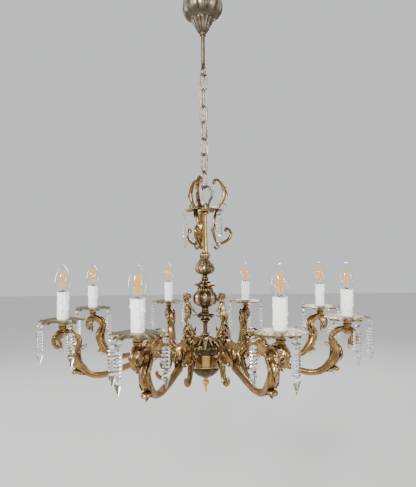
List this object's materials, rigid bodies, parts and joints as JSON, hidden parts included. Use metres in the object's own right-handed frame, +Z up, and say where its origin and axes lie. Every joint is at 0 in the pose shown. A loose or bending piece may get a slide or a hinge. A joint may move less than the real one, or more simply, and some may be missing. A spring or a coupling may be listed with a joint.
{
  "type": "multi arm chandelier",
  "caption": "Cast brass candle-style chandelier on a chain, with scrolled acanthus arms, leaf drip trays, crystal drops and cherubs.",
  "frame": {"origin": "centre of the ceiling plate's top face, where it meets the ceiling", "axes": "+X right and +Y back as seen from the front, +Z up; the two cherubs stand at -X and +X"},
  "size_m": [0.7504, 0.7476, 1.01],
  "materials": {
    "zinc": "zinc-plated steel",
    "chain_brass": "aged, pinkish grey-brown brass",
    "canopy_brass": "dark aged brass with brighter leaf edges",
    "cast_brass": "cast, warm golden bronze with dark recesses",
    "tray_brass": "stamped, lighter greenish gold",
    "polished_brass": "polished, golden",
    "dark_brass": "coppery bronze brown with gilt high points",
    "patina_brass": "dark patina with gold highlights",
    "cable_gold": "translucent gold two-core flex",
    "porcelain": "glazed white ceramic",
    "phenolic": "ivory moulded lamp holder",
    "wax_white": "white tube with wax-like drips",
    "bulb_glass": "clear glass with amber filaments",
    "crystal": "clear cut crystal with a brass wire"
  },
  "bodies": {
    "mount": {"ceiling_plate": "zinc", "hanging_tube": "chain_brass"},
    "canopy": {"canopy": "canopy_brass", "canopy_collar": "chain_brass"},
    "ring": {"tube_ring": "chain_brass"},
    "link_1": {"chain_link_1": "chain_brass"},
    "link_2": {"chain_link_2": "chain_brass"},
    "link_3": {"chain_link_3": "chain_brass"},
    "link_4": {"chain_link_4": "chain_brass"},
    "link_5": {"chain_link_5": "chain_brass"},
    "link_6": {"chain_link_6": "chain_brass"},
    "link_7": {"chain_link_7": "chain_brass"},
    "fixture": {"cable": "cable_gold", "crown_hook": "chain_brass", "crown_scrolls": "cast_brass", "crown_plate": "tray_brass", "column_tube": "polished_brass", "vase": "dark_brass", "urn": "dark_brass", "leaf_saucer": "tray_brass", "lower_stem": "dark_brass", "dome": "patina_brass", "belt": "polished_brass", "lower_bowl": "patina_brass", "finial": "polished_brass", "tie_rod": "zinc", "terminal_block": "porcelain", "arms": "cast_brass", "arm_bolts": "zinc", "drip_trays": "tray_brass", "lamp_holders": "phenolic", "candle_sleeves": "wax_white", "bulbs": "bulb_glass", "cherubs": "cast_brass"},
    "drop_1_a": {"drop_1_a": "crystal"},
    "drop_1_b": {"drop_1_b": "crystal"},
    "drop_1_c": {"drop_1_c": "crystal"},
    "drop_2_a": {"drop_2_a": "crystal"},
    "drop_2_b": {"drop_2_b": "crystal"},
    "drop_2_c": {"drop_2_c": "crystal"},
    "drop_3_a": {"drop_3_a": "crystal"},
    "drop_3_b": {"drop_3_b": "crystal"},
    "drop_3_c": {"drop_3_c": "crystal"},
    "drop_4_a": {"drop_4_a": "crystal"},
    "drop_4_b": {"drop_4_b": "crystal"},
    "drop_4_c": {"drop_4_c": "crystal"},
    "drop_5_a": {"drop_5_a": "crystal"},
    "drop_5_b": {"drop_5_b": "crystal"},
    "drop_5_c": {"drop_5_c": "crystal"},
    "drop_6_a": {"drop_6_a": "crystal"},
    "drop_6_b": {"drop_6_b": "crystal"},
    "drop_6_c": {"drop_6_c": "crystal"},
    "drop_7_a": {"drop_7_a": "crystal"},
    "drop_7_b": {"drop_7_b": "crystal"},
    "drop_7_c": {"drop_7_c": "crystal"},
    "drop_8_a": {"drop_8_a": "crystal"},
    "drop_8_b": {"drop_8_b": "crystal"},
    "drop_8_c": {"drop_8_c": "crystal"},
    "crown_drop_left": {"crown_drop_left": "crystal"},
    "crown_drop_right": {"crown_drop_right": "crystal"}
  },
  "joints": [
    {"name": "canopy_slide", "type": "slide", "parent": "mount", "child": "canopy", "axis": [0, 0, -1], "range_m": [0, 0.055]},
    {"name": "ring_swing", "type": "hinge", "parent": "mount", "child": "ring", "pos_m": [0, 0, -0.1832], "axis": [0.5, -0.866, 0], "range_deg": [-10, 10], "deforming": ["cable"]},
    {"name": "link_1_swing", "type": "hinge", "parent": "ring", "child": "link_1", "pos_m": [0, 0, -0.2058], "axis": [0.5, -0.866, 0], "range_deg": [-10, 10], "deforming": ["cable"]},
    {"name": "link_2_swing", "type": "hinge", "parent": "link_1", "child": "link_2", "pos_m": [0, 0, -0.24555], "axis": [0.9848, 0.1736, 0], "range_deg": [-10, 10], "deforming": ["cable"]},
    {"name": "link_3_swing", "type": "hinge", "parent": "link_2", "child": "link_3", "pos_m": [0, 0, -0.28975], "axis": [-0.0872, 0.9962, 0], "range_deg": [-10, 10], "deforming": ["cable"]},
    {"name": "link_4_swing", "type": "hinge", "parent": "link_3", "child": "link_4", "pos_m": [0, 0, -0.32945], "axis": [0.9848, 0.1736, 0], "range_deg": [-10, 10], "deforming": ["cable"]},
    {"name": "link_5_swing", "type": "hinge", "parent": "link_4", "child": "link_5", "pos_m": [0, 0, -0.37365], "axis": [0.5736, -0.8192, 0], "range_deg": [-10, 10], "deforming": ["cable"]},
    {"name": "link_6_swing", "type": "hinge", "parent": "link_5", "child": "link_6", "pos_m": [0, 0, -0.41335], "axis": [0.766, 0.6428, 0], "range_deg": [-10, 10], "deforming": ["cable"]},
    {"name": "link_7_swing", "type": "hinge", "parent": "link_6", "child": "link_7", "pos_m": [0, 0, -0.45755], "axis": [0.766, -0.6428, 0], "range_deg": [-10, 10], "deforming": ["cable"]},
    {"name": "fixture_swing", "type": "hinge", "parent": "link_7", "child": "fixture", "pos_m": [0, 0, -0.49725], "axis": [0.6428, 0.766, 0], "range_deg": [-10, 10], "deforming": ["cable"]},
    {"name": "drop_1_a_swing", "type": "hinge", "parent": "fixture", "child": "drop_1_a", "pos_m": [0.28119, 0.14843, -0.8117], "axis": [-0.6428, -0.766, 0], "range_deg": [-20, 20]},
    {"name": "drop_1_b_swing", "type": "hinge", "parent": "fixture", "child": "drop_1_b", "pos_m": [0.35485, 0.15164, -0.8117], "axis": [-0.7071, 0.7071, 0], "range_deg": [-20, 20]},
    {"name": "drop_1_c_swing", "type": "hinge", "parent": "fixture", "child": "drop_1_c", "pos_m": [0.36874, 0.1076, -0.8117], "axis": [0.1736, 0.9848, 0], "range_deg": [-20, 20]},
    {"name": "drop_2_a_swing", "type": "hinge", "parent": "fixture", "child": "drop_2_a", "pos_m": [0.0803, 0.30976, -0.8117], "axis": [0.0872, -0.9962, 0], "range_deg": [-20, 20]},
    {"name": "drop_2_b_swing", "type": "hinge", "parent": "fixture", "child": "drop_2_b", "pos_m": [0.14721, 0.3611, -0.8117], "axis": [-0.9397, 0.342, 0], "range_deg": [-20, 20]},
    {"name": "drop_2_c_swing", "type": "hinge", "parent": "fixture", "child": "drop_2_c", "pos_m": [0.18011, 0.31412, -0.8117], "axis": [0, 1, 0], "range_deg": [-20, 20]},
    {"name": "drop_3_a_swing", "type": "hinge", "parent": "fixture", "child": "drop_3_a", "pos_m": [-0.16907, 0.31847, -0.8117], "axis": [0, -1, 0], "range_deg": [-20, 20]},
    {"name": "drop_3_b_swing", "type": "hinge", "parent": "fixture", "child": "drop_3_b", "pos_m": [-0.06926, 0.32283, -0.8117], "axis": [-0.0872, 0.9962, 0], "range_deg": [-20, 20]},
    {"name": "drop_3_c_swing", "type": "hinge", "parent": "fixture", "child": "drop_3_c", "pos_m": [-0.11907, 0.36847, -0.8117], "axis": [-1, 0, 0], "range_deg": [-20, 20]},
    {"name": "drop_4_a_swing", "type": "hinge", "parent": "fixture", "child": "drop_4_a", "pos_m": [-0.34392, 0.08641, -0.8117], "axis": [0.8192, -0.5736, 0], "range_deg": [-20, 20]},
    {"name": "drop_4_b_swing", "type": "hinge", "parent": "fixture", "child": "drop_4_b", "pos_m": [-0.27694, 0.15951, -0.8117], "axis": [-0.6428, 0.766, 0], "range_deg": [-20, 20]},
    {"name": "drop_4_c_swing", "type": "hinge", "parent": "fixture", "child": "drop_4_c", "pos_m": [-0.36223, 0.14447, -0.8117], "axis": [-0.342, -0.9397, 0], "range_deg": [-20, 20]},
    {"name": "drop_5_a_swing", "type": "hinge", "parent": "fixture", "child": "drop_5_a", "pos_m": [-0.28446, -0.16677, -0.8117], "axis": [0.788, 0.6157, 0], "range_deg": [-20, 20]},
    {"name": "drop_5_b_swing", "type": "hinge", "parent": "fixture", "child": "drop_5_b", "pos_m": [-0.31524, -0.07737, -0.8117], "axis": [-1, 0, 0], "range_deg": [-20, 20]},
    {"name": "drop_5_c_swing", "type": "hinge", "parent": "fixture", "child": "drop_5_c", "pos_m": [-0.36524, -0.12737, -0.8117], "axis": [0, -1, 0], "range_deg": [-20, 20]},
    {"name": "drop_6_a_swing", "type": "hinge", "parent": "fixture", "child": "drop_6_a", "pos_m": [-0.14557, -0.36087, -0.8117], "axis": [0.848, -0.5299, 0], "range_deg": [-20, 20]},
    {"name": "drop_6_b_swing", "type": "hinge", "parent": "fixture", "child": "drop_6_b", "pos_m": [-0.16737, -0.30553, -0.8117], "axis": [-0.2588, -0.9659, 0], "range_deg": [-20, 20]},
    {"name": "drop_6_c_swing", "type": "hinge", "parent": "fixture", "child": "drop_6_c", "pos_m": [-0.06907, -0.31847, -0.8117], "axis": [0, 1, 0], "range_deg": [-20, 20]},
    {"name": "drop_7_a_swing", "type": "hinge", "parent": "fixture", "child": "drop_7_a", "pos_m": [0.15268, -0.35879, -0.8117], "axis": [0.9397, 0.342, 0], "range_deg": [-20, 20]},
    {"name": "drop_7_b_swing", "type": "hinge", "parent": "fixture", "child": "drop_7_b", "pos_m": [0.17093, -0.27644, -0.8117], "axis": [-0.7071, 0.7071, 0], "range_deg": [-20, 20]},
    {"name": "drop_7_c_swing", "type": "hinge", "parent": "fixture", "child": "drop_7_c", "pos_m": [0.08576, -0.31616, -0.8117], "axis": [0.0872, -0.9962, 0], "range_deg": [-20, 20]},
    {"name": "drop_8_a_swing", "type": "hinge", "parent": "fixture", "child": "drop_8_a", "pos_m": [0.32283, -0.16888, -0.8117], "axis": [0.9962, 0.0872, 0], "range_deg": [-20, 20]},
    {"name": "drop_8_b_swing", "type": "hinge", "parent": "fixture", "child": "drop_8_b", "pos_m": [0.36847, -0.11907, -0.8117], "axis": [0, 1, 0], "range_deg": [-20, 20]},
    {"name": "drop_8_c_swing", "type": "hinge", "parent": "fixture", "child": "drop_8_c", "pos_m": [0.30137, -0.07209, -0.8117], "axis": [-0.9397, -0.342, 0], "range_deg": [-20, 20]},
    {"name": "crown_drop_left_swing", "type": "hinge", "parent": "fixture", "child": "crown_drop_left", "pos_m": [-0.04891, -0.0104, -0.5542], "axis": [0.2079, -0.9781, 0], "range_deg": [-20, 20]},
    {"name": "crown_drop_right_swing", "type": "hinge", "parent": "fixture", "child": "crown_drop_right", "pos_m": [0.036, -0.03021, -0.5542], "axis": [0.6428, 0.766, 0], "range_deg": [-20, 20]}
  ]
}
